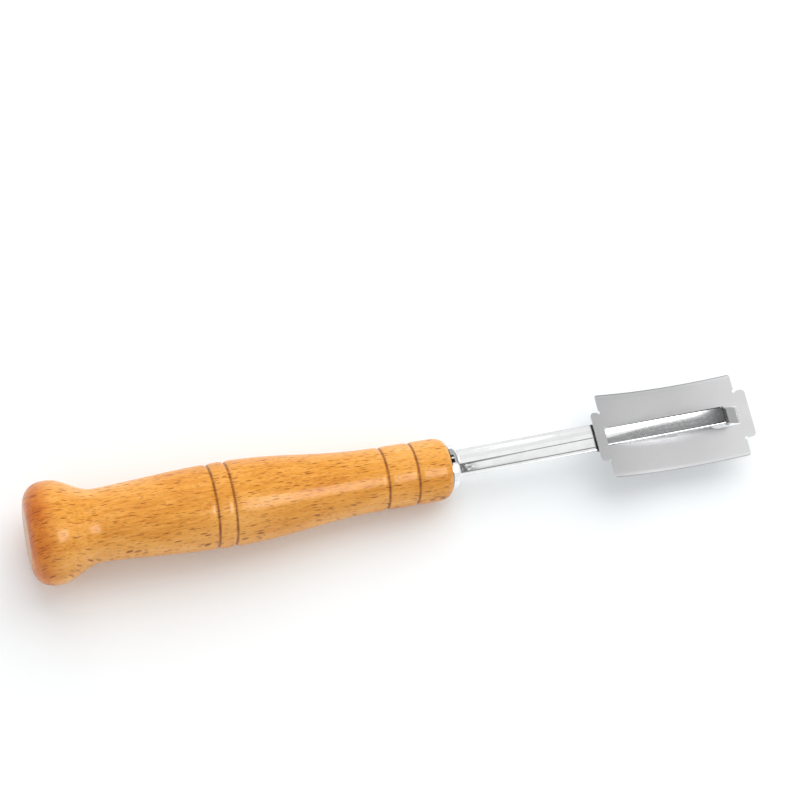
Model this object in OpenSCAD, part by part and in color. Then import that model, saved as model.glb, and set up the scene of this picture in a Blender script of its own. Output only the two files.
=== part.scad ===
// Bread lame: a turned beech handle, a chromed ferrule, a formed steel blade
// holder and a double-edged razor blade that is threaded on the holder's tongue.
// Millimetres. +X runs along the handle from its butt to the blade, +Z out of
// the face of the blade, and the origin is the centre of the handle's flat butt.

/* [Overall] */
// Length from the butt to the far end of the blade
overall_length = 185; // [183:1:188]

/* [Handle] */
// Length of the wooden handle
handle_length = 104.5; // [102:0.5:106]
// Diameter of the flat on the butt
butt_flat_d = 10; // [6:0.5:12]
// Diameter of the knob at the butt end
knob_d = 25.1; // [23:0.1:27]
// Distance from the butt to the crest of the knob
knob_crest_at = 6.2; // [5:0.1:7]
// Distance from the butt to the neck behind the knob
neck_at = 17; // [15:0.5:20]
// Diameter of the neck
neck_d = 17.7; // [16:0.1:19]
// Distance from the butt to the thickest part of the grip
swell_at = 50; // [47:1:52]
// Diameter of the thickest part of the grip
swell_d = 20.9; // [20:0.1:24]
// Diameter of the slim front end
front_d = 15.7; // [15:0.1:17]
// Length over which the front end is rounded off
front_round_length = 3.4; // [2:0.1:4]
// Depth of the decorative grooves
groove_depth = 0.5; // [0.2:0.05:0.8]
// Width of the decorative grooves at the surface
groove_width = 1; // [0.6:0.1:1.4]

/* [Ferrule] */
// Outer diameter of the ferrule
ferrule_d = 11.7; // [11.2:0.1:12.5]
// Length of the ferrule that stands out of the handle
ferrule_proud = 2.5; // [2.5:0.1:4]
// Depth of the seat in the handle that the ferrule is pressed into
ferrule_seat = 4; // [4:0.5:6]
// Wall of the ferrule
ferrule_wall = 0.6; // [0.4:0.1:0.8]
// Radius of the ferrule's outer front edge
ferrule_round = 1.4; // [0.9:0.1:1.6]

/* [Blade holder] */
// Width of the shank between the ferrule and the blade
shank_width = 6.9; // [6.4:0.1:7]
// Height of the shank's trough where it leaves the ferrule
shank_height = 2.15; // [1.9:0.05:2.2]
// Sheet thickness of the holder
sheet = 0.9; // [0.8:0.05:0.95]
// Width of the tongue that carries the blade
tongue_width = 4.6; // [4:0.1:4.8]
// Length of the tang that is driven into the handle
tang_length = 30; // [20:1:40]
// Width of the tang
tang_width = 5; // [4:0.1:5]

/* [Blade] */
// Length of the flat blade from tab to tab
blade_length = 43; // [42.6:0.1:43.2]
// Width of the blade from edge to edge
blade_width = 22; // [21.6:0.1:22.2]
// Thickness of the blade
blade_thickness = 0.1; // [0.08:0.01:0.12]
// Radius that the tongue bends the blade to
blade_bend_r = 75; // [73:1:80]
// Length of the cutting edges
edge_length = 37.6; // [37:0.1:38]
// Width of the end tabs
tab_width = 12.8; // [12:0.1:13.5]
// Width of the ground bevel along each edge
bevel = 0.8; // [0.4:0.1:1.2]

/* [Hidden] */
$fn = 96;
over = 1;                                    // a cutter runs this far past a face

// handle
butt_r = butt_flat_d / 2;
knob_r = knob_d / 2;
neck_r = neck_d / 2;
swell_r = swell_d / 2;
front_r = front_d / 2;
knob_power = 2.6;                            // squareness of the knob's front
taper_end = handle_length - 18.5;            // the taper runs out ahead of the front grooves
groove_places = [44.7, 49, handle_length - 16.8, handle_length - 9.1];
shoulder_r = ferrule_d / 2 + 0.1;             // a narrow flat is left round the ferrule
tang_bore_d = tang_width + 0.4;
tang_from = handle_length - tang_length;

// ferrule
ferrule_r = ferrule_d / 2;
ferrule_front = handle_length + ferrule_proud;
ferrule_from = handle_length - ferrule_seat;
ferrule_face = 0.8;                          // thickness of its front
stem_play = 0.1;                             // round the shank in the ferrule's window

// blade
blade_z = 3.2;                               // the middle of the blade, the lowest of its curve
blade_x = overall_length - chord(blade_length / 2);
edge_corner_r = 0.6;
tab_corner_r = 1.1;
notch_r = 0.45;                              // relief between each edge and its tabs
slot_half = 18.3;
slot_width = 3.2;
slot_end_width = 4.9;                        // the wide ends let the tongue through
slot_end_from = 13.3;
slot_corner_r = 0.3;
hole_d = 5;                                  // three round widenings of the slot
hole_pitch = 12.6;

// blade holder, seen from the side: the places where the strip bends
joggle_from = handle_length - 1.9;           // inside the ferrule
joggle_to = joggle_from + 1.5;
shank_rim_from = 3.05;                       // the trough's rims at the ferrule
shank_rim_to = blade_z + 3.2;                // the strip's top where the trough has run out
shank_end_height = 1;
step_top = blade_x - chord(blade_length / 2) - 0.3;
step_foot = step_top + 1.15;
web_x = blade_x - chord(slot_half);          // inner edge of the blade's near end web
web_gap = 0.06;                              // between the tongue's rims and the web
web_rim = blade_z + sag(slot_half) - blade_thickness / 2 - web_gap;
tongue_rise = 5;                             // degrees
tongue_height = 1.5;                         // rims to belly where it enters the slot
crest_x = blade_x + slot_end_from;           // where the tongue turns down again
crest_drop = 1.6;
tip_fall = 20;                               // degrees
tip_x = blade_x + 19.8;
tip_r = 0.8;
shank_groove_r = 4.5;
shank_belly_r = 6;
tongue_groove_r = 2.6;
tongue_groove_depth = 0.65;
tongue_belly_r = 3.2;

function chord(s) = blade_bend_r * sin(s / blade_bend_r * 180 / PI);
function sag(s) = blade_bend_r * (1 - cos(s / blade_bend_r * 180 / PI));
function ease(t) = (1 - cos(180 * t)) / 2;
function steps(n) = [for (i = [1 : n]) i / n];
function between(a, b, x) = a[1] + (b[1] - a[1]) * (x - a[0]) / (b[0] - a[0]);

// Points of the arc of radius r that rounds off the corner at b between a and c.
function bend(a, b, c, r, n = 4) =
    let (u = (a - b) / norm(a - b), v = (c - b) / norm(c - b))
    let (half = acos(u * v) / 2, sweep = 180 - 2 * half)
    let (mid = b + (u + v) / norm(u + v) * r / sin(half))
    let (p = b + u * r / tan(half) - mid, q = b + v * r / tan(half) - mid)
    [for (i = [0 : n])
        mid + (p * sin((1 - i / n) * sweep) + q * sin(i / n * sweep)) / sin(sweep)];

// An open path with each of its corners rounded off.
function rounded(path, radii) = concat(
    [path[0]],
    [for (i = [1 : len(path) - 2])
        each bend(path[i - 1], path[i], path[i + 1], radii[i - 1])],
    [path[len(path) - 1]]);

// Outline of the turned handle as [distance from the butt, radius].
function knob_front(a) = [knob_crest_at * (1 - pow(cos(a), 2 / knob_power)),
    butt_r + (knob_r - butt_r) * pow(sin(a), 2 / knob_power)];
handle_outline = concat(
    [[0, 0], [0, butt_r]],
    [for (a = [7.5 : 7.5 : 82.5]) knob_front(a)],
    [for (t = concat([0], steps(12))) [knob_crest_at + (neck_at - knob_crest_at) * t,
        knob_r + (neck_r - knob_r) * ease(t)]],
    [for (t = steps(12)) [neck_at + (swell_at - neck_at) * t,
        neck_r + (swell_r - neck_r) * pow(sin(90 * t), 1.3)]],
    [for (t = steps(12)) [swell_at + (taper_end - swell_at) * t,
        swell_r + (front_r - swell_r) * ease(t)]],
    [for (a = [0 : 15 : 90]) [handle_length - front_round_length * (1 - sin(a)),
        front_r - (front_r - shoulder_r) * (1 - cos(a))]],
    [[handle_length, 0]]);

// Radius of the grip at a distance from the butt, behind the knob.
function grip_radius(x) = lookup(x, [for (p = handle_outline)
    if (p[0] >= neck_at && p[0] < handle_length) p]);

// The holder's side view. Its top follows the trough's rims, its bottom the belly.
step_top_point = [step_top, shank_rim_to];
function shank_rim(x) = between([ferrule_front, shank_rim_from], step_top_point, x);
function rim(x) = web_rim + (x - web_x) * tan(tongue_rise);
crest = [crest_x, rim(crest_x)];
crest_foot = crest + [0.7 * crest_drop, -crest_drop];
tip_top = [tip_x, crest_foot[1] - (tip_x - crest_foot[0]) * tan(tip_fall)];
shank_belly_from = [joggle_to + 1, shank_rim(joggle_to + 1) - shank_height];
shank_belly_to = [step_top - 0.3, shank_rim_to - shank_end_height];
tongue_belly_from = [step_foot - 0.1, rim(step_foot) - tongue_height];
tongue_belly_to = crest - [0.4, sheet];
holder_top = [
    [tang_from, sheet / 2], [joggle_from, sheet / 2], [joggle_to, shank_rim(joggle_to)],
    step_top_point, [step_foot, rim(step_foot)], crest, crest_foot, tip_top];
holder_bottom = [
    tip_top - [0, sheet], crest_foot - [0.45, sheet + 0.2], tongue_belly_to,
    tongue_belly_from, shank_belly_to, shank_belly_from,
    [joggle_from + 1, -sheet / 2], [tang_from, -sheet / 2]];
top_radii = [0.5, 1.2, 0.4, 0.5, 0.8, 0.8];
bottom_radii = [1, 0.6, 0.4, 0.5, 0.4, 1];

// Half of the holder's outline from above as [distance, half width].
shank_half = shank_width / 2;
tongue_half = tongue_width / 2;
holder_plan = concat(
    [[tang_from, tang_width / 4], [tang_from + 4, tang_width / 2],
        [joggle_to - 0.6, tang_width / 2], [joggle_to + 0.6, shank_half]],
    bend([step_top, shank_half], [step_foot + 0.3, shank_half], [web_x, tongue_half], 1),
    bend([step_foot + 0.3, shank_half], [web_x - 0.6, tongue_half], [tip_x, tongue_half], 1),
    [for (a = [0 : 15 : 90]) [tip_x - tip_r * (1 - sin(a)), tongue_half - tip_r * (1 - cos(a))]]);

// Revolve an outline of [distance, radius] points about the X axis.
module turned(outline) {
    rotate([0, 90, 0])
    rotate_extrude()
    polygon([for (p = outline) [p[1], p[0]]]);
}

// A round bar between two points of the side view.
module slanted_rod(from, to, r) {
    translate([from[0], 0, from[1]])
    rotate([0, 90 - atan2(to[1] - from[1], to[0] - from[0]), 0])
    cylinder(h = norm(to - from), r = r);
}

module groove(x) {
    r = grip_radius(x);
    turned([[x, r - groove_depth], [x - groove_width, r + groove_depth],
        [x + groove_width, r + groove_depth]]);
}

module handle() {
    color("burlywood")
    difference() {
        turned(handle_outline);
        for (x = groove_places) groove(x);
        slanted_rod([ferrule_from, 0], [handle_length + over, 0], ferrule_r);
        tang_bore();
    }
}

// Blind bore for the tang, with the cone that the drill leaves.
module tang_bore() {
    bore_r = tang_bore_d / 2;
    turned([[tang_from - 1 - bore_r / tan(59), 0], [tang_from - 1, bore_r],
        [ferrule_from + over, bore_r], [ferrule_from + over, 0]]);
}

module ferrule() {
    inner_r = ferrule_r - ferrule_wall;
    inner_round = ferrule_round - ferrule_wall;
    back = ferrule_front - ferrule_face;
    cup = concat(
        [[ferrule_from, inner_r], [ferrule_from, ferrule_r]],
        [for (a = [0 : 15 : 90]) [ferrule_front - ferrule_round * (1 - sin(a)),
            ferrule_r - ferrule_round * (1 - cos(a))]],
        [[ferrule_front, 0], [back, 0]],
        [for (a = [90 : -15 : 0]) [back - inner_round * (1 - sin(a)),
            inner_r - inner_round * (1 - cos(a))]]);
    color("silver")
    difference() {
        turned(cup);
        stem_window();
    }
}

// Window in the ferrule's front for the shank.
module stem_window() {
    low = shank_rim(ferrule_front - ferrule_face) - shank_height - stem_play;
    high = shank_rim_from + stem_play;
    half = shank_half + stem_play;
    translate([ferrule_front - ferrule_face - over, -half, low])
    cube([ferrule_face + 2 * over, 2 * half, high - low]);
}

module blade_holder() {
    trough_from = [joggle_to + 0.4, shank_rim(joggle_to) - shank_height + sheet];
    trough_to = [step_top - 1, shank_rim(step_top - 1)];
    cradle_from = [step_foot + 0.5, rim(step_foot + 0.5) - tongue_groove_depth];
    color("gainsboro")
    difference() {
        intersection() {
            side_prism();
            plan_prism();
        }
        slanted_rod(raised(trough_from, shank_groove_r), raised(trough_to, shank_groove_r),
            shank_groove_r);
        slanted_rod(raised(cradle_from, tongue_groove_r), raised(crest, tongue_groove_r),
            tongue_groove_r);
        belly_cutter(shank_belly_from, shank_belly_to, shank_belly_r, shank_width);
        belly_cutter(tongue_belly_from, tongue_belly_to, tongue_belly_r, tongue_width);
    }
}

function raised(p, h) = p + [0, h];

module side_prism() {
    rotate([90, 0, 0])
    linear_extrude(2 * shank_width, center = true)
    polygon(concat(rounded(holder_top, top_radii), rounded(holder_bottom, bottom_radii)));
}

module plan_prism() {
    translate([0, 0, -knob_d / 2])
    linear_extrude(knob_d)
    polygon(concat(holder_plan,
        [for (i = [len(holder_plan) - 1 : -1 : 0]) [holder_plan[i][0], -holder_plan[i][1]]]));
}

// Rounds the lower corners of the strip between two points of its belly.
module belly_cutter(from, to, r, width) {
    slope = atan2(to[1] - from[1], to[0] - from[0]);
    length = norm(to - from);
    depth = r - sqrt(r * r - width * width / 4);
    translate([from[0], 0, from[1]])
    rotate([0, -slope, 0])
    difference() {
        translate([0, -width, -over])
        cube([length, 2 * width, over + depth]);
        translate([-over, 0, r])
        rotate([0, 90, 0])
        cylinder(h = length + 2 * over, r = r);
    }
}

module blade() {
    color("lightgray")
    intersection() {
        bent_strip();
        translate([blade_x, 0, blade_z - over])
        linear_extrude(sag(blade_length / 2) + 2 * over)
        blade_outline();
    }
}

// A hoop of blade strip, ground along both edges, that the blade is cut from.
module bent_strip() {
    face = blade_width / 2 - bevel;
    edge = blade_width / 2;
    upper = blade_bend_r - blade_thickness / 2;
    lower = blade_bend_r + blade_thickness / 2;
    ground = blade_thickness / 10;
    translate([blade_x, 0, blade_z + blade_bend_r])
    rotate([90, 0, 0])
    rotate_extrude($fn = 360)
    polygon([[upper, -face], [blade_bend_r - ground, -edge], [blade_bend_r + ground, -edge],
        [lower, -face], [lower, face], [blade_bend_r + ground, edge],
        [blade_bend_r - ground, edge], [upper, face]]);
}

// A closed outline from the stretch of it that lies in the first quadrant.
module four_way(quarter) {
    back = [for (i = [len(quarter) - 1 : -1 : 0]) quarter[i]];
    polygon(concat(quarter, [for (p = back) [p[0], -p[1]]],
        [for (p = quarter) -p], [for (p = back) [-p[0], p[1]]]));
}

module blade_outline() {
    edge_half = chord(edge_length / 2);
    tab_end = chord(blade_length / 2);
    corner = [edge_half, tab_width / 2];
    difference() {
        four_way(concat(
            bend([0, blade_width / 2], [edge_half, blade_width / 2], corner, edge_corner_r),
            [for (a = [90 : 15 : 360]) corner + notch_r * [cos(a), sin(a)]],
            bend(corner, [tab_end, tab_width / 2], [tab_end, 0], tab_corner_r)));
        slot();
    }
}

module slot() {
    wide_from = chord(slot_end_from);
    wide = [chord(slot_half), slot_end_width / 2];
    hole_r = hole_d / 2;
    shoulder = asin(slot_width / hole_d);
    last = acos((wide_from - hole_pitch) / hole_r);
    four_way(concat(
        [for (t = [0 : 4]) hole_r * [sin((90 - shoulder) * t / 4), cos((90 - shoulder) * t / 4)]],
        [for (t = [0 : 5]) let (a = 180 - shoulder + (last - 180 + shoulder) * t / 5)
            [hole_pitch + hole_r * cos(a), hole_r * sin(a)]],
        [[wide_from, wide[1]]],
        bend([wide_from, wide[1]], wide, [wide[0], 0], slot_corner_r)));
}

handle();
ferrule();
blade_holder();
blade();
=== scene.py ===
"""Looks of the bread lame: lacquered beech handle, chromed ferrule and blade holder, satin razor blade."""

import math

import bpy
from mathutils import Matrix, Vector
from mathutils.geometry import delaunay_2d_cdt


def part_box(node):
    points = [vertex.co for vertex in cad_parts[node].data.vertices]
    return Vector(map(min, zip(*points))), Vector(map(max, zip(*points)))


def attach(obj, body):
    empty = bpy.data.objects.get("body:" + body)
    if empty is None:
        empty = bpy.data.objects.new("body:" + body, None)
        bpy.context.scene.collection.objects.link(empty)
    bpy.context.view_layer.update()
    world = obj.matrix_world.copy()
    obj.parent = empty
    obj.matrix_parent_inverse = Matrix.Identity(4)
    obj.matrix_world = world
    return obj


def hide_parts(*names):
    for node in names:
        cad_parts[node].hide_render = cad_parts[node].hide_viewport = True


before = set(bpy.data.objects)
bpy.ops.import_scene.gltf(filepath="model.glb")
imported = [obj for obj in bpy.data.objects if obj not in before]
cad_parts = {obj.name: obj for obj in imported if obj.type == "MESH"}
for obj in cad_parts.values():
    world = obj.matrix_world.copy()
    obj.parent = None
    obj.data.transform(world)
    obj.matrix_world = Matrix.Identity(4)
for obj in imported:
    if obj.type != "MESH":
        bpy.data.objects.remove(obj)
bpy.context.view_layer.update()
MM = 0.001


# ---------------------------------------------------------------- small maths

def ease(t):
    return (1 - math.cos(math.pi * t)) / 2


def mix(a, b, t):
    return a + (b - a) * t


def smooth(lo, hi, x):
    t = min(1.0, max(0.0, (x - lo) / (hi - lo)))
    return t * t * (3 - 2 * t)


def lookup(table, x):
    """Value at x on a polyline of (x, value) points in rising order."""
    if x <= table[0][0]:
        return table[0][1]
    for (xa, va), (xb, vb) in zip(table, table[1:]):
        if x <= xb:
            return mix(va, vb, (x - xa) / (xb - xa))
    return table[-1][1]


def bend(a, b, c, r, n=6):
    """Points of the arc of radius r that rounds off the corner at b between a and c."""
    a, b, c = Vector(a), Vector(b), Vector(c)
    u, v = (a - b).normalized(), (c - b).normalized()
    half = u.angle(v) / 2
    sweep = math.pi - 2 * half
    mid = b + (u + v).normalized() * (r / math.sin(half))
    p, q = b + u * (r / math.tan(half)) - mid, b + v * (r / math.tan(half)) - mid
    return [
        mid + (p * math.sin((1 - i / n) * sweep) + q * math.sin(i / n * sweep)) / math.sin(sweep)
        for i in range(n + 1)
    ]


def rounded(path, radii, n=6):
    """An open path with each of its corners rounded off."""
    out = [Vector(path[0])]
    for i in range(1, len(path) - 1):
        out += bend(path[i - 1], path[i], path[i + 1], radii[i - 1], n)
    return out + [Vector(path[-1])]


def arc(cx, cy, r, start, end, n):
    """Points of an arc about (cx, cy), between two angles in degrees."""
    angles = [math.radians(mix(start, end, i / n)) for i in range(n + 1)]
    return [(cx + r * math.cos(a), cy + r * math.sin(a)) for a in angles]


def edge_round(front, side, r, step):
    """Points of the quarter round of radius r between a side and the front, every step degrees."""
    angles = [math.radians(a) for a in range(0, 91, step)]
    return [(front - r * (1 - math.sin(a)), side - r * (1 - math.cos(a))) for a in angles]


# ---------------------------------------------------------------- meshes

def make(name, verts, faces, material, node, sharp=None):
    """A shaded piece in millimetres that stands for one CAD node."""
    mesh = bpy.data.meshes.new(name)
    mesh.from_pydata([Vector(v) * MM for v in verts], [], faces)
    mesh.validate()
    mesh.update()
    piece = bpy.data.objects.new(name, mesh)
    bpy.context.scene.collection.objects.link(piece)
    mesh.materials.append(material)
    for p in mesh.polygons:
        p.use_smooth = True
    if sharp is not None:
        mesh.set_sharp_from_angle(angle=math.radians(sharp))
    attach(piece, "root")
    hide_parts(node)
    return piece


def ring_points(x, r, around):
    """Vertices of a ring about the X axis."""
    angles = [2 * math.pi * k / around for k in range(around)]
    return [(x, r * math.sin(a), r * math.cos(a)) for a in angles]


def strip(a, b, count):
    """Faces between two rings of count vertices, whose first vertices are a and b."""
    return [(a + k, a + (k + 1) % count, b + (k + 1) % count, b + k) for k in range(count)]


def add_rings(verts, outline, around):
    """Adds a ring of vertices for each (x, r) of an outline, and gives the first vertex of each ring."""
    firsts = []
    for x, r in outline:
        firsts.append(len(verts))
        verts += ring_points(x, r, around)
    return firsts


def revolve(loop, around):
    """Vertices and faces of a closed (x, r) loop turned about X. A point with r 0 becomes one vertex."""
    verts, rings, faces = [], [], []
    for x, r in loop:
        start = len(verts)
        if r < 1e-6:
            verts.append((x, 0, 0))
            rings.append([start] * around)
        else:
            verts += ring_points(x, r, around)
            rings.append(list(range(start, start + around)))
    for a, b in zip(rings, rings[1:] + rings[:1]):
        for k in range(around):
            m = (k + 1) % around
            face = []
            for v in (a[k], a[m], b[m], b[k]):
                if v not in face:
                    face.append(v)
            if len(face) > 2:
                faces.append(face)
    return verts, faces


# ---------------------------------------------------------------- shader nodes

class Nodes:
    """Short hand for the node tree of a material or a world."""

    def __init__(self, owner):
        self.owner = owner
        owner.use_nodes = True
        self.tree = owner.node_tree
        self.shader = self.tree.nodes.get("Principled BSDF")

    def add(self, kind, inputs=None, **settings):
        node = self.tree.nodes.new(kind)
        for key, value in settings.items():
            setattr(node, key, value)
        for key, value in (inputs or {}).items():
            self.put(node.inputs[key], value)
        return node

    def put(self, socket, value):
        if hasattr(value, "links"):
            self.tree.links.new(value, socket)
        else:
            socket.default_value = value

    def place(self, scale=(1, 1, 1), offset=(0, 0, 0)):
        """Object position in millimetres, scaled."""
        where = self.add("ShaderNodeTexCoord").outputs["Object"]
        node = self.add("ShaderNodeMapping", {"Vector": where})
        node.inputs["Scale"].default_value = [s / MM for s in scale]
        node.inputs["Location"].default_value = offset
        return node.outputs[0]

    def xyz(self):
        """Object position in millimetres, as three sockets."""
        return self.add("ShaderNodeSeparateXYZ", {0: self.place()}).outputs

    def maths(self, operation, a, b=0.0):
        node = self.add("ShaderNodeMath", operation=operation)
        self.put(node.inputs[0], a)
        self.put(node.inputs[1], b)
        return node.outputs[0]

    def noise(self, vector, scale=1.0, detail=2.0, rough=0.5, distort=0.0):
        node = self.add("ShaderNodeTexNoise", {
            "Vector": vector, "Scale": scale, "Detail": detail, "Roughness": rough, "Distortion": distort})
        return node.outputs[0]

    def span(self, value, lo, hi, to_lo=0.0, to_hi=1.0):
        """A smooth change from to_lo to to_hi while the value goes from lo to hi."""
        node = self.add("ShaderNodeMapRange", {
            "Value": value, "From Min": lo, "From Max": hi, "To Min": to_lo, "To Max": to_hi},
            interpolation_type="SMOOTHSTEP")
        return node.outputs[0]

    def ramp(self, value, stops):
        node = self.add("ShaderNodeValToRGB", {"Fac": value})
        marks = node.color_ramp.elements
        while len(marks) < len(stops):
            marks.new(0.5)
        for mark, (at, colour) in zip(marks, stops):
            mark.position, mark.color = at, (*colour, 1)
        return node.outputs[0]

    def between(self, a, b, share):
        """A mix of two numbers."""
        return self.add("ShaderNodeMix", {0: share, 2: a, 3: b}, data_type="FLOAT").outputs[0]

    def blend(self, a, b, share, kind="MIX"):
        """A mix of two colours, each a socket or (r, g, b)."""
        node = self.add("ShaderNodeMix", data_type="RGBA", blend_type=kind)
        self.put(node.inputs[0], share)
        self.put(node.inputs[6], a if hasattr(a, "links") else (*a, 1))
        self.put(node.inputs[7], b if hasattr(b, "links") else (*b, 1))
        return node.outputs[2]

    def bump(self, height, distance_mm, strength):
        node = self.add("ShaderNodeBump", {
            "Height": height, "Strength": strength, "Distance": distance_mm * MM})
        return node.outputs[0]


# ---------------------------------------------------------------- handle

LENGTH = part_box("handle")[1].x / MM
KNOB_AT, NECK_AT, SWELL_AT, TAPER_END, ROUND = 6.2, 17.0, 50.0, LENGTH - 18.5, 3.4
KNOB_R, NECK_R, SWELL_R, FRONT_R, BUTT_R, SHOULDER_R = 12.55, 8.85, 10.45, 7.85, 5.0, 5.95
GROOVES = [44.7, 49.0, LENGTH - 16.8, LENGTH - 9.1]
KNOB_POWER, SWELL_POWER = 2.6, 1.3             # squareness of the knob's front, and of the rise to the swell
GROOVE_V, GROOVE_V_HALF = 0.32, 0.6            # depth and half width of a groove
GROOVE_ROLL, GROOVE_ROLL_HALF = 0.18, 1.5      # the same of the shoulders that roll in beside it
STATION = 0.45                                 # between the handle's rings
FERRULE_R, FERRULE_SEAT = 5.85, 4.0
BORE_R, BORE_DEPTH, BORE_CONE = 2.7, 31.0, 1.6


def handle_radius(x):
    if x <= KNOB_AT:
        c = max(0.0, 1 - x / KNOB_AT) ** (KNOB_POWER / 2)
        return BUTT_R + (KNOB_R - BUTT_R) * max(0.0, 1 - c * c) ** (1 / KNOB_POWER)
    if x <= NECK_AT:
        return mix(KNOB_R, NECK_R, ease((x - KNOB_AT) / (NECK_AT - KNOB_AT)))
    if x <= SWELL_AT:
        rise = math.sin(math.pi / 2 * (x - NECK_AT) / (SWELL_AT - NECK_AT))
        return NECK_R + (SWELL_R - NECK_R) * rise ** SWELL_POWER
    if x <= TAPER_END:
        return mix(SWELL_R, FRONT_R, ease((x - SWELL_AT) / (TAPER_END - SWELL_AT)))
    if x <= LENGTH - ROUND:
        return FRONT_R
    t = (x - (LENGTH - ROUND)) / ROUND
    return SHOULDER_R + (FRONT_R - SHOULDER_R) * math.sqrt(max(0.0, 1 - t * t))


def groove_cut(x):
    """Depth of the turned grooves: a V with a soft bottom, between shoulders that roll in a little."""
    cut = 0.0
    for g in GROOVES:
        d = abs(x - g)
        v = GROOVE_V * (1 - smooth(0.0, GROOVE_V_HALF, d))
        cut = max(cut, v + GROOVE_ROLL * (1 - smooth(0.0, GROOVE_ROLL_HALF, d)))
    return cut


def handle_stations():
    """Places of the handle's rings, which lie closer on the rounded ends and in the grooves."""
    xs = [KNOB_AT * (1 - math.cos(math.radians(a)) ** (2 / KNOB_POWER)) for a in range(0, 90, 5)]
    xs += [KNOB_AT + STATION * i for i in range(int((LENGTH - ROUND - KNOB_AT) / STATION) + 1)]
    xs += [LENGTH - ROUND * (1 - math.sin(math.radians(a))) for a in range(0, 91, 6)]
    fine, count = 0.1, 16
    for g in GROOVES:
        xs = [x for x in xs if abs(x - g) > fine * count]
        xs += [g + fine * i for i in range(-count, count + 1)]
    return sorted(xs)


def build_handle(material):
    # the flat butt with its edge eased, then the turned outline
    loop = [(0.0, 0.0), (0.0, BUTT_R * 0.5), (0.0, BUTT_R - 0.25), (0.04, BUTT_R - 0.06)]
    loop += [(x, handle_radius(x) - groove_cut(x)) for x in handle_stations() if x > 0.05]
    # the ferrule's seat, and the tang's blind bore with the cone that the drill leaves
    seat, bore_end = LENGTH - FERRULE_SEAT, LENGTH - BORE_DEPTH
    loop += [(LENGTH, FERRULE_R), (seat, FERRULE_R)]
    loop += [(seat, BORE_R), (bore_end, BORE_R), (bore_end - BORE_CONE, 0)]
    verts, faces = revolve(loop, 192)
    return make("handle_turned", verts, faces, material, "handle", sharp=50)


# ---------------------------------------------------------------- ferrule

FERRULE_PROUD, FERRULE_WALL, FERRULE_FACE = 2.5, 0.6, 0.8
FRONT_X = LENGTH + FERRULE_PROUD
EDGE_R = 1.4
LEAD_IN, LEAD_IN_LENGTH = 0.15, 0.2            # chamfer on its hidden back edge
RIM_AT_FERRULE, SHANK_HEIGHT, STEM_PLAY = 3.05, 2.15, 0.1


def build_ferrule(material):
    """A cup whose front wall has a window for the shank."""
    around = 180
    inner_r, inner_front = FERRULE_R - FERRULE_WALL, FRONT_X - FERRULE_FACE
    back = LENGTH - FERRULE_SEAT
    side_from = back + LEAD_IN_LENGTH
    outside = [(back, FERRULE_R - LEAD_IN)] + [(side_from + 0.5 * i, FERRULE_R) for i in range(10)]
    outside = [p for p in outside if p[0] < FRONT_X - EDGE_R]
    outside += edge_round(FRONT_X, FERRULE_R, EDGE_R, 5)
    hollow = [(back, inner_r)] + edge_round(inner_front, inner_r, EDGE_R - FERRULE_WALL, 15)
    verts = []
    outer, inner = add_rings(verts, outside, around), add_rings(verts, hollow, around)

    half_w = SHANK_HALF + STEM_PLAY
    low, high = shank_rim(inner_front) - SHANK_HEIGHT - STEM_PLAY, RIM_AT_FERRULE + STEM_PLAY
    middle, half_h = (low + high) / 2, (high - low) / 2
    corners = [math.atan2(y * half_w, z * half_h) for y, z in ((1, 1), (1, -1), (-1, -1), (-1, 1))]

    def on_window(y, z):
        """Point of the window's outline towards (y, z), or a corner of it where one is near."""
        angle = math.atan2(y, z - middle)
        for c in corners:
            if abs((angle - c + math.pi) % (2 * math.pi) - math.pi) < math.pi / around:
                angle = c
        dy, dz = math.sin(angle), math.cos(angle)
        reach = min(half_w / max(abs(dy), 1e-9), half_h / max(abs(dz), 1e-9))
        return dy * reach, middle + dz * reach

    windows = []
    for first, x in ((outer[-1], FRONT_X), (inner[-1], inner_front)):
        windows.append(len(verts))
        verts += [(x, *on_window(y, z)) for _, y, z in verts[first:first + around]]
    outer_window, inner_window = windows
    faces = []
    for a, b in zip(outer, outer[1:]):
        faces += strip(a, b, around)
    for a, b in zip(inner, inner[1:]):
        faces += strip(b, a, around)
    faces += strip(inner[0], outer[0], around)
    faces += strip(outer[-1], outer_window, around)
    faces += strip(inner_window, inner[-1], around)
    faces += strip(outer_window, inner_window, around)
    return make("ferrule_cup", verts, faces, material, "ferrule", sharp=40)


# ---------------------------------------------------------------- blade

BEND_R, BLADE_Z, THICK = 75.0, 3.2, 0.1
BLADE_HALF, HALF_WIDTH, EDGE_HALF, TAB_HALF, BEVEL = 21.5, 11.0, 18.8, 6.4, 0.8
EDGE_CORNER_R, TAB_CORNER_R, NOTCH_R = 0.6, 1.1, 0.45
END_SHORT = 0.02                               # keeps the blade's end inside the CAD model's box
SLOT_HALF, SLOT_HALF_WIDTH, SLOT_CORNER_R = 18.3, 1.6, 0.3
SLOT_END_FROM, SLOT_END_HALF_WIDTH = 13.3, 2.45
HOLE_R, HOLE_PITCH = 2.5, 12.6
KEEN_HALF = 0.012                              # half of the thickness at the ground edge
BEVEL_Y = HALF_WIDTH - BEVEL


def chord(s):
    return BEND_R * math.sin(s / BEND_R)


def sag(s):
    return BEND_R * (1 - math.cos(s / BEND_R))


BLADE_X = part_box("blade")[1].x / MM - chord(BLADE_HALF)


def on_blade(s, y, offset=0.0):
    """Point of the bent blade, s along it from its middle, offset out of its hollow face."""
    r = BEND_R - offset
    return (BLADE_X + r * math.sin(s / BEND_R), y, BLADE_Z + BEND_R - r * math.cos(s / BEND_R))


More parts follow.
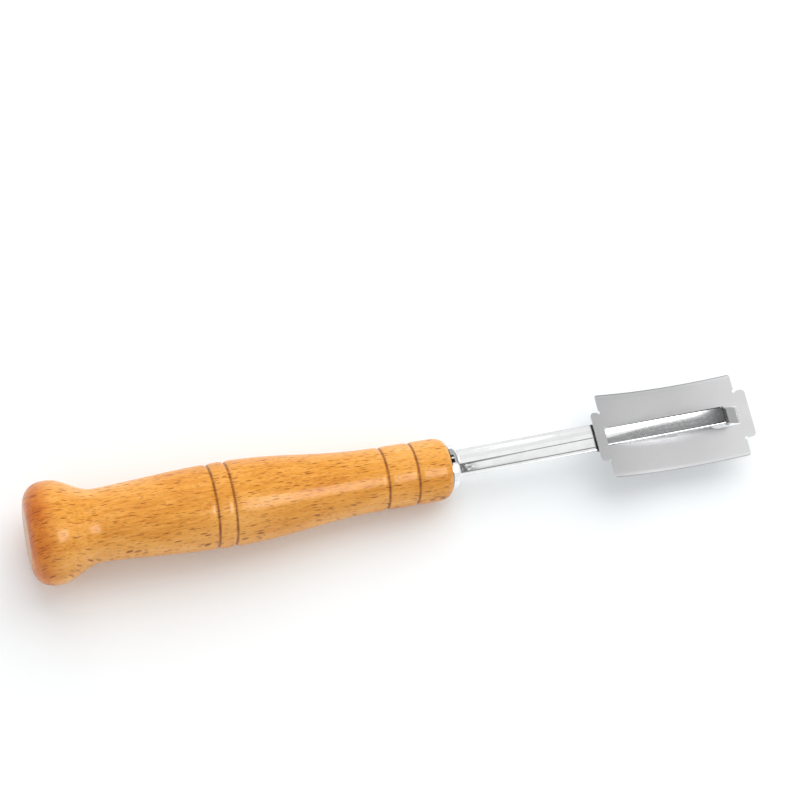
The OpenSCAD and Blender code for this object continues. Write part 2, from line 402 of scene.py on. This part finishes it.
def blade_outline():
    """The flat blade's outer outline and its slot, as loops of (s, y)."""
    end, tab, edge_y = BLADE_HALF - END_SHORT, TAB_HALF - TAB_CORNER_R, HALF_WIDTH - EDGE_CORNER_R
    quarter = [(EDGE_HALF * i / 30, HALF_WIDTH) for i in range(30)]
    quarter += arc(EDGE_HALF - EDGE_CORNER_R, edge_y, EDGE_CORNER_R, 90, 0, 8)
    quarter += [(EDGE_HALF, mix(edge_y, TAB_HALF + NOTCH_R, t)) for t in (0.3, 0.6)]
    quarter += arc(EDGE_HALF, TAB_HALF, NOTCH_R, 90, 360, 20)
    quarter += arc(end - TAB_CORNER_R, tab, TAB_CORNER_R, 90, 0, 10)
    quarter += [(end, tab * (1 - i / 6)) for i in range(1, 6)]

    shoulder = math.degrees(math.asin(SLOT_HALF_WIDTH / HOLE_R))
    last = math.degrees(math.acos((SLOT_END_FROM - HOLE_PITCH) / HOLE_R))
    neck_from = HOLE_R * math.cos(math.radians(shoulder))
    wide_to, corner_y = SLOT_HALF - SLOT_CORNER_R, SLOT_END_HALF_WIDTH - SLOT_CORNER_R
    slot = arc(0, 0, HOLE_R, 90, shoulder, 8)
    slot += [(mix(neck_from, HOLE_PITCH - neck_from, i / 12), SLOT_HALF_WIDTH) for i in range(1, 12)]
    slot += arc(HOLE_PITCH, 0, HOLE_R, 180 - shoulder, last, 10)
    slot += [(mix(SLOT_END_FROM, wide_to, i / 6), SLOT_END_HALF_WIDTH) for i in range(6)]
    slot += arc(wide_to, corner_y, SLOT_CORNER_R, 90, 0, 8)
    slot += [(SLOT_HALF, corner_y * (1 - i / 4)) for i in range(1, 4)]
    return mirror_four(quarter), mirror_four(slot)


def mirror_four(quarter):
    """A closed loop from the stretch of it in the first quadrant, without double points."""
    back = quarter[::-1]
    out = quarter + [(s, -y) for s, y in back] + [(-s, -y) for s, y in quarter] + [(-s, y) for s, y in back]
    clean = []
    for p in out:
        if not clean or math.dist(p, clean[-1]) > 1e-4:
            clean.append(p)
    if math.dist(clean[0], clean[-1]) < 1e-4:
        clean.pop()
    return clean


def blade_sheet():
    """Points and triangles of the flat blade, between its outline and its slot."""
    outer, slot = blade_outline()
    points = [Vector(p) for p in outer + slot]
    edges = []
    for first, count in ((0, len(outer)), (len(outer), len(slot))):
        edges += [(first + i, first + (i + 1) % count) for i in range(count)]
    # the lines where the ground bevels begin, which end just inside the outline
    parts, gap = 48, 0.02
    for sign in (-1, 1):
        first = len(points)
        places = [-EDGE_HALF + gap + (2 * EDGE_HALF - 2 * gap) * i / parts for i in range(parts + 1)]
        points += [Vector((s, sign * BEVEL_Y)) for s in places]
        edges += [(first + i, first + i + 1) for i in range(parts)]
    # a triangular grid, clear of all these lines
    step, clear = 0.75, 0.3
    for i in range(int(2 * BLADE_HALF / step) + 1):
        for j in range(int(2 * HALF_WIDTH / step) + 1):
            s, y = -BLADE_HALF + step * (i + 0.5 * (j % 2)), -HALF_WIDTH + step * j
            on_steel = inside(outer, s, y, clear) and not inside(slot, s, y, -clear)
            if on_steel and abs(abs(y) - BEVEL_Y) > clear:
                points.append(Vector((s, y)))
    flat, _, faces, _, _, _ = delaunay_2d_cdt(points, edges, [], 1, 1e-5)
    kept = []
    for f in faces:
        c = sum((Vector(flat[i]) for i in f), Vector((0, 0))) / len(f)
        if inside(outer, c.x, c.y, 0) and not inside(slot, c.x, c.y, 0):
            turn = sum(flat[a][0] * flat[b][1] - flat[b][0] * flat[a][1] for a, b in zip(f, f[1:] + f[:1]))
            kept.append(list(f) if turn >= 0 else list(f)[::-1])
    return flat, kept


def build_blade(material):
    """The flat sheet, bent and given its thickness, with ground edges and a thin rim."""
    flat, triangles = blade_sheet()

    def half_thickness(y):
        return mix(THICK / 2, KEEN_HALF, max(0.0, abs(y) - BEVEL_Y) / BEVEL)

    n = len(flat)
    verts = [on_blade(s, y, half_thickness(y)) for s, y in flat]
    verts += [on_blade(s, y, -half_thickness(y)) for s, y in flat]
    faces, sides = [], []
    for f in triangles:
        faces += [f, [n + i for i in reversed(f)]]
        sides += zip(f, f[1:] + f[:1])
    known = set(sides)
    faces += [[b, a, n + a, n + b] for a, b in sides if (b, a) not in known]
    used = sorted({i for f in faces for i in f})
    index = {v: i for i, v in enumerate(used)}
    verts = [verts[i] for i in used]
    faces = [[index[i] for i in f] for f in faces]
    return make("razor_blade", verts, faces, material, "blade", sharp=20)


def inside(loop, x, y, margin):
    """Is (x, y) inside a loop, by at least margin (a negative margin widens it)?"""
    hit = False
    nearest = 1e9
    for i in range(len(loop)):
        (ax, ay), (bx, by) = loop[i], loop[(i + 1) % len(loop)]
        if (ay > y) != (by > y) and x < ax + (bx - ax) * (y - ay) / (by - ay):
            hit = not hit
        if margin:
            dx, dy = bx - ax, by - ay
            t = min(1, max(0, ((x - ax) * dx + (y - ay) * dy) / (dx * dx + dy * dy + 1e-12)))
            nearest = min(nearest, math.hypot(x - ax - t * dx, y - ay - t * dy))
    if margin > 0:
        return hit and nearest > margin
    if margin < 0:
        return hit or nearest < -margin
    return hit


# ---------------------------------------------------------------- blade holder

TANG_LENGTH, TANG_HALF = 30.0, 2.5
TANG_FROM = LENGTH - TANG_LENGTH
JOGGLE_FROM, JOGGLE_TO = LENGTH - 1.9, LENGTH - 0.4
STEP_TOP = BLADE_X - chord(BLADE_HALF) - 0.3
STEP_FOOT = STEP_TOP + 1.15
RIM_AT_STEP = BLADE_Z + 3.2
WEB_X = BLADE_X - chord(SLOT_HALF)
WEB_GAP = 0.06
WEB_RIM = BLADE_Z + sag(SLOT_HALF) - THICK / 2 - WEB_GAP
TONGUE_RISE, TIP_FALL = math.radians(5), math.radians(20)
CREST_X = BLADE_X + SLOT_END_FROM
CREST_DROP = 1.6
TIP_X, TIP_R = BLADE_X + 19.8, 0.8
SHANK_HALF, TONGUE_HALF, SHEET = 3.45, 2.3, 0.9
SHANK_RIM, TONGUE_RIM, RIM_SOFT = 0.8, 0.42, 0.18   # widths of the rims, and of their rounded outer edges
LEAST_WALL = 0.3                               # between the trough and the belly


def shank_rim(x):
    return mix(RIM_AT_FERRULE, RIM_AT_STEP, (x - FRONT_X) / (STEP_TOP - FRONT_X))


def tongue_rim(x):
    return WEB_RIM + (x - WEB_X) * math.tan(TONGUE_RISE)


def holder_line():
    """The strip's top line from the side, with its bends rounded off and points less than 1.4 mm apart."""
    crest = (CREST_X, tongue_rim(CREST_X))
    foot = (CREST_X + 0.7 * CREST_DROP, crest[1] - CREST_DROP)
    tip = (TIP_X, foot[1] - (TIP_X - foot[0]) * math.tan(TIP_FALL))
    path = [(TANG_FROM, SHEET / 2), (JOGGLE_FROM, SHEET / 2), (JOGGLE_TO, shank_rim(JOGGLE_TO)),
            (STEP_TOP, RIM_AT_STEP), (STEP_FOOT, tongue_rim(STEP_FOOT)), crest, foot, tip]
    line = rounded(path, [0.5, 1.2, 0.4, 0.5, 0.8, 0.8], 8)
    spacing = 0.7
    dense = [line[0]]
    for a, b in zip(line, line[1:]):
        n = max(1, int((b - a).length / spacing))
        dense += [a.lerp(b, i / n) for i in range(1, n + 1)]
    return dense


def holder_half_widths():
    """The strip's half width along X, as (x, half width)."""
    foot = (STEP_FOOT + 0.3, SHANK_HALF)
    wide = [(TANG_FROM, TANG_HALF / 2), (TANG_FROM + 4, TANG_HALF)]
    wide += [(JOGGLE_TO - 0.6, TANG_HALF), (JOGGLE_TO + 0.6, SHANK_HALF)]
    wide += bend((STEP_TOP, SHANK_HALF), foot, (WEB_X, TONGUE_HALF), 1)
    wide += bend(foot, (WEB_X - 0.6, TONGUE_HALF), (TIP_X, TONGUE_HALF), 1)
    wide += edge_round(TIP_X, TONGUE_HALF, TIP_R, 15)
    return [tuple(p) for p in wide]


def holder_section(w, depth, height, on_shank):
    """Top and bottom of a cross-section, as (y, depth below the rims)."""
    rim, belly = (SHANK_RIM, 0.9) if on_shank else (TONGUE_RIM, 0.7)
    inner = max(0.2, w - rim)
    # shares of the half width, closer where the rims and the rounded edges are
    half = [0, 0.02, 0.04, 0.08, 0.16, 0.26, 0.36, 0.46, 0.56, 0.64, 0.70, 0.74, 0.77, 0.80, 0.83,
            0.86, 0.90, 0.93, 0.95, 0.97, 0.985, 0.995, 1]
    top, bottom = [], []
    for share in [-s for s in half[:0:-1]] + half:
        y = share * w
        cup = depth * (1 - (abs(y) / inner) ** 2.0) if abs(y) < inner else 0.0
        past = max(0.0, (abs(y) - (w - RIM_SOFT)) / RIM_SOFT)
        side = RIM_SOFT * (1 - math.sqrt(max(0.0, 1 - past ** 2)))
        under = belly * abs(share) ** 2.2 * min(1.0, height - 0.6)
        top.append((y, cup + side))
        bottom.append((y, max(height - under, cup + side + LEAST_WALL)))
    return top, bottom


def build_holder(material):
    """The strip, swept along its side view with its cross-sections."""
    line, wide = holder_line(), holder_half_widths()
    trough = [(JOGGLE_TO, SHANK_HEIGHT - SHEET), (STEP_TOP - 1, 0.0)]
    cradle = [(STEP_FOOT, 0.0), (STEP_FOOT + 1.0, 0.62), (CREST_X - 6, 0.34), (CREST_X, 0.0)]
    heights = [(JOGGLE_FROM, SHEET), (JOGGLE_TO + 0.5, SHANK_HEIGHT), (STEP_TOP - 0.3, 1.0),
               (STEP_FOOT + 0.2, 1.4), (STEP_FOOT + 2, 1.5), (CREST_X - 0.4, 0.92), (TIP_X, SHEET)]
    verts, rings = [], []
    for before, p, after in zip(line[:1] + line, line, line[1:] + line[-1:]):
        run = (after - before).normalized()
        normal = Vector((-run.y, run.x))
        on_shank = p.x < STEP_TOP
        depth = lookup(trough if on_shank else cradle, p.x) if p.x > JOGGLE_TO else 0.0
        top, bottom = holder_section(lookup(wide, p.x), depth, lookup(heights, p.x), on_shank)
        rings.append(len(verts))
        for y, down in top + bottom[::-1]:
            q = p - normal * down
            verts.append((q.x, y, q.y))
    m = 2 * len(top)
    faces = []
    for a, b in zip(rings, rings[1:]):
        faces += strip(a, b, m)
    for r, flip in ((rings[0], False), (rings[-1], True)):
        for k in range(len(top) - 1):
            quad = [r + k, r + k + 1, r + m - 2 - k, r + m - 1 - k]
            faces.append(quad[::-1] if flip else quad)
    return make("holder_strip", verts, faces, material, "blade_holder", sharp=35)


# ---------------------------------------------------------------- materials

def beech_material():
    """Lacquered beech: fibres, pores and ray flecks, with burnt grooves, a stained knob with painted shade on
    its front, and a pale butt.
    """
    m = Nodes(bpy.data.materials.new("beech"))
    # slow wander of the grain, so that nothing runs dead straight
    wander = m.add("ShaderNodeTexNoise", {"Vector": m.place((0.03, 0.12, 0.12)), "Scale": 1.0, "Detail": 2.0})
    shift = m.add("ShaderNodeVectorMath", {0: wander.outputs["Color"], 1: (1.6, 1.6, 1.6)},
                  operation="MULTIPLY")
    moved = m.add("ShaderNodeVectorMath", {0: m.place(), 1: shift.outputs[0]}, operation="ADD")

    def grain(scale, offset=(0, 0, 0)):
        out = m.add("ShaderNodeMapping", {"Vector": moved.outputs[0]})
        out.inputs["Scale"].default_value = scale
        out.inputs["Location"].default_value = offset
        out.inputs["Rotation"].default_value = (0, 0, math.radians(-2.5))
        return out.outputs[0]

    def rays(scale, offset, radius, share):
        """Lens-shaped ray flecks, thin across the grain and deep into the wood, and a tone for each."""
        cell = m.add("ShaderNodeTexVoronoi", {
            "Vector": grain(scale, offset), "Scale": 1.0, "Randomness": 1.0})
        near = m.span(cell.outputs["Distance"], radius * 0.4, radius, 1.0, 0.0)
        pick = m.add("ShaderNodeSeparateColor", {"Color": cell.outputs["Color"]})
        chosen = m.span(pick.outputs[0], share - 0.1, share + 0.1, 1.0, 0.0)
        return m.maths("MULTIPLY", near, chosen), m.span(pick.outputs[1], 0.0, 1.0, 0.55, 1.0)

    broad = m.noise(grain((0.035, 0.16, 0.16)), 1.0, 3.0, 0.55)
    fibre = m.noise(grain((0.22, 2.4, 2.4)), 1.0, 4.0, 0.6)
    tone = m.maths("ADD", m.maths("MULTIPLY", broad, 0.6), m.maths("MULTIPLY", fibre, 0.4))
    colour = m.ramp(tone, [
        (0.34, (0.64, 0.235, 0.020)),
        (0.45, (0.77, 0.330, 0.045)),
        (0.54, (0.84, 0.395, 0.080)),
        (0.66, (0.90, 0.470, 0.135))])
    large, large_tone = rays((0.26, 2.0, 0.14), (3.1, 1.7, 0.4), 0.33, 0.80)
    small, small_tone = rays((0.50, 3.4, 0.34), (7.7, 4.2, 2.9), 0.36, 0.80)
    fleck = m.maths("MAXIMUM", m.maths("MULTIPLY", large, large_tone),
                    m.maths("MULTIPLY", m.maths("MULTIPLY", small, small_tone), 0.75))
    colour = m.blend(colour, (0.29, 0.075, 0.004), fleck)
    pores = m.span(m.noise(grain((0.8, 7.0, 7.0), (1.3, 0.2, 5.0)), 1.0, 2.0, 0.6), 0.58, 0.72)
    colour = m.blend(colour, (0.42, 0.130, 0.010), m.maths("MULTIPLY", pores, 0.75))
    streaks = m.noise(grain((0.10, 1.3, 0.9), (5.1, 8.2, 1.0)), 1.0, 3.0, 0.6)
    colour = m.blend(colour, (0.90, 0.80, 0.62), m.span(streaks, 0.42, 0.62, 0.55, 0.0), "MULTIPLY")
    # burnt grooves, the stained end grain of the knob with painted shade on its front, and the pale flat of
    # the butt
    along = m.xyz()[0]
    burn = None
    for g in GROOVES:
        mark = m.span(m.maths("ABSOLUTE", m.maths("SUBTRACT", along, g + 0.08)), 0.10, 0.42, 1.0, 0.0)
        burn = mark if burn is None else m.maths("MAXIMUM", burn, mark)
    patchy = m.span(m.noise(grain((0.8, 0.8, 0.8)), 1.0, 3.0), 0.25, 0.6, 0.55, 1.0)
    burnt = m.maths("MULTIPLY", m.maths("MULTIPLY", burn, patchy), 0.85)
    colour = m.blend(colour, (0.19, 0.055, 0.006), burnt)
    # the knob's front, darker towards the butt: stain soaked into its end grain, and painted shade where it
    # faces away from the light
    knob_stain_and_shade = m.maths("MULTIPLY", m.span(along, 2.0, 8.0, 1.0, 0.0), m.span(broad, 0.3, 0.6, 1.0, 0.8))
    colour = m.blend(colour, (0.76, 0.44, 0.03), knob_stain_and_shade, "MULTIPLY")
    rings = m.add("ShaderNodeTexWave", {
        "Vector": m.place((0.02, 0.30, 0.42), (0, 0.2, 2.6)), "Scale": 1.0, "Distortion": 3.0,
        "Detail": 3.0, "Detail Scale": 1.2}, bands_direction="Z")
    end_pores = m.span(m.noise(m.place((1, 5, 5)), 1.0, 2.0, 0.7), 0.50, 0.68)
    end_grain = m.blend((0.62, 0.40, 0.23), (0.48, 0.27, 0.12), m.span(rings.outputs["Fac"], 0.2, 0.9))
    end_grain = m.blend(end_grain, (0.28, 0.13, 0.05), m.maths("MULTIPLY", end_pores, 0.6))
    colour = m.blend(colour, end_grain, m.span(along, 0.03, 0.3, 0.9, 0.0))
    m.put(m.shader.inputs["Base Color"], colour)
    m.put(m.shader.inputs["Roughness"], m.span(fibre, 0.2, 0.8, 0.42, 0.56))
    m.shader.inputs["Specular IOR Level"].default_value = 0.12
    m.shader.inputs["Coat Weight"].default_value = 0.5
    m.shader.inputs["Coat Roughness"].default_value = 0.14
    m.shader.inputs["Coat IOR"].default_value = 1.5
    relief = m.maths("ADD", m.maths("MULTIPLY", fleck, -0.6), m.maths("MULTIPLY", fibre, 0.35))
    m.put(m.shader.inputs["Normal"], m.bump(relief, 0.05, 0.7))
    lacquer = m.maths("ADD", m.maths("MULTIPLY", fleck, -0.5), m.maths("MULTIPLY", broad, 2.0))
    m.put(m.shader.inputs["Coat Normal"], m.bump(lacquer, 0.02, 0.6))
    return m.owner


def ferrule_material():
    """Polished chrome with faint turning marks, dark where it meets the wood."""
    m = Nodes(bpy.data.materials.new("ferrule_chrome"))
    cloud = m.noise(m.place((0.35, 0.35, 0.35)), 1.0, 4.0, 0.6)
    turned = m.noise(m.place((6, 0.4, 0.4)), 1.0, 3.0, 0.6)
    colour = m.blend((0.89, 0.895, 0.90), (0.82, 0.825, 0.83), m.span(cloud, 0.35, 0.7))
    along = m.xyz()[0]
    colour = m.blend(colour, (0.06, 0.045, 0.035), m.span(along, LENGTH + 0.1, LENGTH + 0.45, 0.9, 0.0))
    m.put(m.shader.inputs["Base Color"], colour)
    m.shader.inputs["Metallic"].default_value = 1.0
    m.put(m.shader.inputs["Roughness"], m.span(cloud, 0.35, 0.75, 0.03, 0.09))
    m.put(m.shader.inputs["Normal"], m.bump(turned, 0.003, 0.3))
    return m.owner


def holder_material():
    """Polished on the shank with painted dark and grey reflections on it, scuffed satin painted darker as
    shade in the tongue's cradle, bright on its rims, with painted shade under the rims and in the bends.
    """
    m = Nodes(bpy.data.materials.new("holder_chrome"))
    x, y, z = m.xyz()
    off = m.maths("ABSOLUTE", y)
    cloud = m.noise(m.place((0.35, 0.35, 0.35)), 1.0, 4.0, 0.6)
    drawn = m.noise(m.place((0.25, 7, 7)), 1.0, 3.0, 0.6)
    mottle = m.noise(m.place((0.9, 1.5, 1.5)), 1.0, 5.0, 0.65)
    colour = m.blend((0.93, 0.935, 0.94), (0.86, 0.865, 0.87), m.span(cloud, 0.35, 0.7))

    def band(value, middle, half, soft):
        return m.span(m.maths("ABSOLUTE", m.maths("SUBTRACT", value, middle)), half, half + soft, 1.0, 0.0)

    tongue = m.span(x, STEP_TOP + 0.9, STEP_FOOT + 0.5)
    shank = m.maths("SUBTRACT", 1.0, m.span(x, STEP_TOP - 0.8, STEP_TOP - 0.2))
    # creases along the shank in the bump, with thin dark reflection lines painted along them
    crease_and_dark_reflection = m.maths("MAXIMUM", band(y, -0.12, 0.06, 0.10), band(y, -2.62, 0.07, 0.12))
    # a wider painted dark reflection line near the ferrule
    deep = m.maths("MULTIPLY", band(y, -0.2, 0.17, 0.12), m.span(x, FRONT_X + 5, FRONT_X + 20, 1.0, 0.0))
    crease_and_dark_reflection = m.maths("MAXIMUM", crease_and_dark_reflection, deep)
    colour = m.blend(colour, (0.16, 0.16, 0.165), m.maths("MULTIPLY", m.maths("MULTIPLY", crease_and_dark_reflection, shank), 0.85))
    # a painted soft grey reflection band along the shank
    grey_reflection_band = m.maths("MULTIPLY", band(y, 1.45, 0.25, 0.4), shank)
    colour = m.blend(colour, (0.76, 0.765, 0.77), m.maths("MULTIPLY", grey_reflection_band, 0.55))
    # painted dark reflection, mottled, on the lower half of the shank where it leaves the ferrule
    near = m.maths("MULTIPLY", m.span(x, FRONT_X + 1.5, FRONT_X + 5.5, 1.0, 0.0), band(y, -1.3, 1.0, 0.4))
    dark_reflection_by_ferrule = m.maths("MULTIPLY", near, m.span(mottle, 0.38, 0.50))
    colour = m.blend(colour, (0.10, 0.10, 0.10), m.maths("MULTIPLY", dark_reflection_by_ferrule, 0.9))
    # the tongue's cradle: scuffed and rougher, with its colour painted darker grey as shade
    tip = m.span(x, CREST_X + 1.3, CREST_X + 1.9)
    wall = m.span(x, WEB_X, CREST_X - 8, -0.3, 1.9)
    cradle = m.maths("MULTIPLY", tongue, m.span(off, 1.78, 1.95, 1.0, 0.0))
    cradle = m.maths("MULTIPLY", cradle, m.span(m.maths("SUBTRACT", y, wall), -0.25, 0.25, 1.0, 0.0))
    cradle = m.maths("MULTIPLY", cradle, m.maths("SUBTRACT", 1.0, tip))
    satin = m.blend((0.60, 0.605, 0.61), (0.40, 0.405, 0.41), m.span(mottle, 0.38, 0.62))
    # painted shade that deepens towards the crest
    satin = m.blend(satin, (0.10, 0.10, 0.105), m.maths("MULTIPLY", m.span(x, CREST_X - 9, CREST_X), 0.85))
    colour = m.blend(colour, satin, cradle)
    colour = m.blend(colour, (0.98, 0.98, 0.985), tip)
    # painted shade on the flanks under the tongue's rims
    rim = m.maths("ADD", m.maths("MULTIPLY", x, math.tan(TONGUE_RISE)), tongue_rim(0))
    below = m.span(m.maths("SUBTRACT", rim, z), 0.10, 0.22)
    flank_shade = m.maths("MULTIPLY", m.maths("MULTIPLY", tongue, m.span(off, 2.16, 2.24)), below)
    colour = m.blend(colour, (0.16, 0.16, 0.165), m.maths("MULTIPLY", flank_shade, m.maths("SUBTRACT", 1.0, tip)))
    # painted shade, nearly black, on the face of the step and in the bend past the crest
    bend_shade = m.maths("MAXIMUM", band(x, STEP_TOP + 0.5, 0.7, 0.15), band(x, CREST_X + 0.5, 0.35, 0.4))
    colour = m.blend(colour, (0.02, 0.02, 0.022), m.maths("MULTIPLY", bend_shade, 0.95))
    m.put(m.shader.inputs["Base Color"], colour)
    m.shader.inputs["Metallic"].default_value = 1.0
    polish = m.span(m.maths("ADD", cloud, m.maths("MULTIPLY", drawn, 0.4)), 0.5, 1.0, 0.04, 0.10)
    scuffed = m.span(mottle, 0.35, 0.65, 0.22, 0.34)
    m.put(m.shader.inputs["Roughness"], m.between(polish, scuffed, cradle))
    relief = m.maths("ADD", drawn, m.maths("MULTIPLY", crease_and_dark_reflection, -0.6))
    m.put(m.shader.inputs["Normal"], m.bump(relief, 0.006, 0.3))
    return m.owner


def blade_material():
    """Rolled satin steel with paler ground bevels and a dark line at each edge."""
    m = Nodes(bpy.data.materials.new("blade_steel"))
    off = m.maths("ABSOLUTE", m.xyz()[1])
    rolled = m.noise(m.place((0.6, 22, 22)), 1.0, 3.0, 0.65)
    cloud = m.noise(m.place((0.12, 0.12, 0.12)), 1.0, 3.0, 0.5)
    honed = m.noise(m.place((14, 0.8, 0.8)), 1.0, 2.0, 0.6)
    ground = m.span(off, BEVEL_Y - 0.1, BEVEL_Y + 0.1)
    mixed = m.maths("ADD", m.maths("MULTIPLY", rolled, 0.55), m.maths("MULTIPLY", cloud, 0.45))
    colour = m.blend((0.70, 0.70, 0.705), (0.62, 0.62, 0.63), m.span(mixed, 0.3, 0.7))
    colour = m.blend(colour, (0.74, 0.74, 0.75), m.maths("MULTIPLY", ground, 0.6))
    at_edge = m.span(off, HALF_WIDTH - 0.28, HALF_WIDTH - 0.14)
    keen = m.maths("MULTIPLY", at_edge, m.span(honed, 0.3, 0.6, 0.6, 1.0))
    colour = m.blend(colour, (0.22, 0.22, 0.23), m.maths("MULTIPLY", keen, 0.8))
    m.put(m.shader.inputs["Base Color"], colour)
    m.shader.inputs["Metallic"].default_value = 1.0
    m.put(m.shader.inputs["Roughness"], m.span(mixed, 0.3, 0.7, 0.33, 0.42))
    m.put(m.shader.inputs["Normal"], m.bump(m.between(rolled, honed, ground), 0.003, 0.35))
    return m.owner


# ---------------------------------------------------------------- build

build_handle(beech_material())
build_ferrule(ferrule_material())
build_holder(holder_material())
build_blade(blade_material())


# ---------------------------------------------------------------- stage, light and camera

DOME = 0.96                                    # what diffuse light gets from every side
FLOOR_SIZE, FLOOR_CELLS, FLOOR_GAP = 3.0, 24, 0.1


def table_material():
    m = Nodes(bpy.data.materials.new("table_white"))
    cloud = m.noise(m.place((0.05, 0.05, 0.05)), 1.0, 2.0)
    m.put(m.shader.inputs["Base Color"], m.blend((0.93, 0.955, 0.965), (0.92, 0.945, 0.955), cloud))
    m.shader.inputs["Roughness"].default_value = 0.75
    m.shader.inputs["Specular IOR Level"].default_value = 0.2
    return m.owner


def build_floor():
    """The table, on the slope of the knob and the handle's front, with a gap that clears the swell."""
    slope = math.atan2(KNOB_R - FRONT_R, (LENGTH - ROUND) - KNOB_AT)
    row = FLOOR_CELLS + 1
    places = [(i / FLOOR_CELLS - 0.5) * FLOOR_SIZE for i in range(row)]
    verts = [(x, y, 0) for y in places for x in places]
    firsts = [j * row + i for j in range(FLOOR_CELLS) for i in range(FLOOR_CELLS)]
    faces = [(c, c + 1, c + row + 1, c + row) for c in firsts]
    mesh = bpy.data.meshes.new("table")
    mesh.from_pydata(verts, [], faces)
    mesh.materials.append(table_material())
    floor = bpy.data.objects.new("table", mesh)
    bpy.context.scene.collection.objects.link(floor)
    below_knob = Vector((KNOB_AT * MM, 0, -(KNOB_R + FLOOR_GAP) * MM))
    floor.matrix_world = Matrix.Translation(below_knob) @ Matrix.Rotation(-slope, 4, "Y")


def build_world():
    """A soft dome for the diffuse light, and for gloss the cards and boxes of a small studio.

    across is the angle over the tool, 0 straight up, negative to the front; along is the angle towards +X.
    """
    world = bpy.data.worlds.new("studio")
    bpy.context.scene.world = world
    world.cycles.sampling_method = "NONE"
    w = Nodes(world)
    w.tree.nodes.clear()

    def window(value, lo, hi, soft):
        rise, fall = w.span(value, lo - soft, lo + soft), w.span(value, hi - soft, hi + soft, 1.0, 0.0)
        return w.maths("MULTIPLY", rise, fall)

    direction = w.add("ShaderNodeTexCoord").outputs["Generated"]
    x, y, z = w.add("ShaderNodeSeparateXYZ", {0: direction}).outputs
    across, along = w.maths("ARCTAN2", y, z), w.maths("ARCSINE", x)
    # a ceiling that fades towards the blade, and an even card over the front half
    ceiling = w.span(along, -0.2, 0.80, 1.36, 0.50)
    level = w.between(ceiling, 1.2, w.span(across, 0.12, 0.06))
    # at the back, a grey sheet and a black card with a lamp in it
    sheet = w.maths("MULTIPLY", w.span(across, 0.80, 0.86), window(along, 0.16, 0.40, 0.03))
    level = w.between(level, 0.62, sheet)
    card = w.maths("MULTIPLY", window(across, 0.09, 0.83, 0.03), window(along, 0.19, 0.31, 0.02))
    level = w.between(level, 0.02, card)
    lamp = w.maths("MULTIPLY", window(across, 0.47, 0.61, 0.02), window(along, 0.22, 0.30, 0.02))
    level = w.between(level, 1.3, lamp)
    # the soft box at the front, and the dark line of the horizon
    box = w.maths("MULTIPLY", window(across, -0.68, -0.20, 0.12), window(along, 0.20, 0.80, 0.12))
    level = w.between(level, 11.0, box)
    level = w.between(level, 0.08, window(z, -0.03, 0.02, 0.01))

    lit = w.add("ShaderNodeLightPath")
    level = w.between(level, DOME, lit.outputs["Is Diffuse Ray"])
    studio = w.add("ShaderNodeBackground", {"Strength": level})
    plain = w.add("ShaderNodeBackground", {"Color": (0.97, 0.975, 0.98, 1)})
    pick = w.add("ShaderNodeMixShader", {
        0: lit.outputs["Is Camera Ray"], 1: studio.outputs[0], 2: plain.outputs[0]})
    w.add("ShaderNodeOutputWorld", {"Surface": pick.outputs[0]})


def add_area(name, spot, aim, size, power):
    """A round area light that gives light and shadow, and no reflection of itself."""
    light = bpy.data.lights.new(name, "AREA")
    light.shape, light.size, light.energy = "DISK", size, power
    lamp = bpy.data.objects.new(name, light)
    lamp.location = Vector(spot)
    lamp.rotation_mode = "QUATERNION"
    lamp.rotation_quaternion = (Vector(aim) - Vector(spot)).to_track_quat("-Z", "Y")
    lamp.visible_glossy = False
    bpy.context.scene.collection.objects.link(lamp)


def build_camera():
    data = bpy.data.cameras.new("camera")
    data.lens, data.sensor_width = 90.65, 36.0
    data.clip_start, data.clip_end = 0.01, 20
    camera = bpy.data.objects.new("camera", data)
    right, up, back = (0.9581, -0.21744, 0.18644), (0.14766, 0.93272, 0.32899), (-0.24543, -0.28768, 0.92575)
    spot = (-0.0275, -0.1263, 0.4690)
    camera.matrix_world = Matrix([(right[i], up[i], back[i], spot[i]) for i in range(3)] + [(0, 0, 0, 1)])
    bpy.context.scene.collection.objects.link(camera)
    bpy.context.scene.camera = camera


build_floor()
build_world()
add_area("key", (0.35, 0.55, 0.75), (0.09, 0, 0), 1.3, 7.0)
build_camera()
bpy.context.scene.view_settings.view_transform = "Standard"
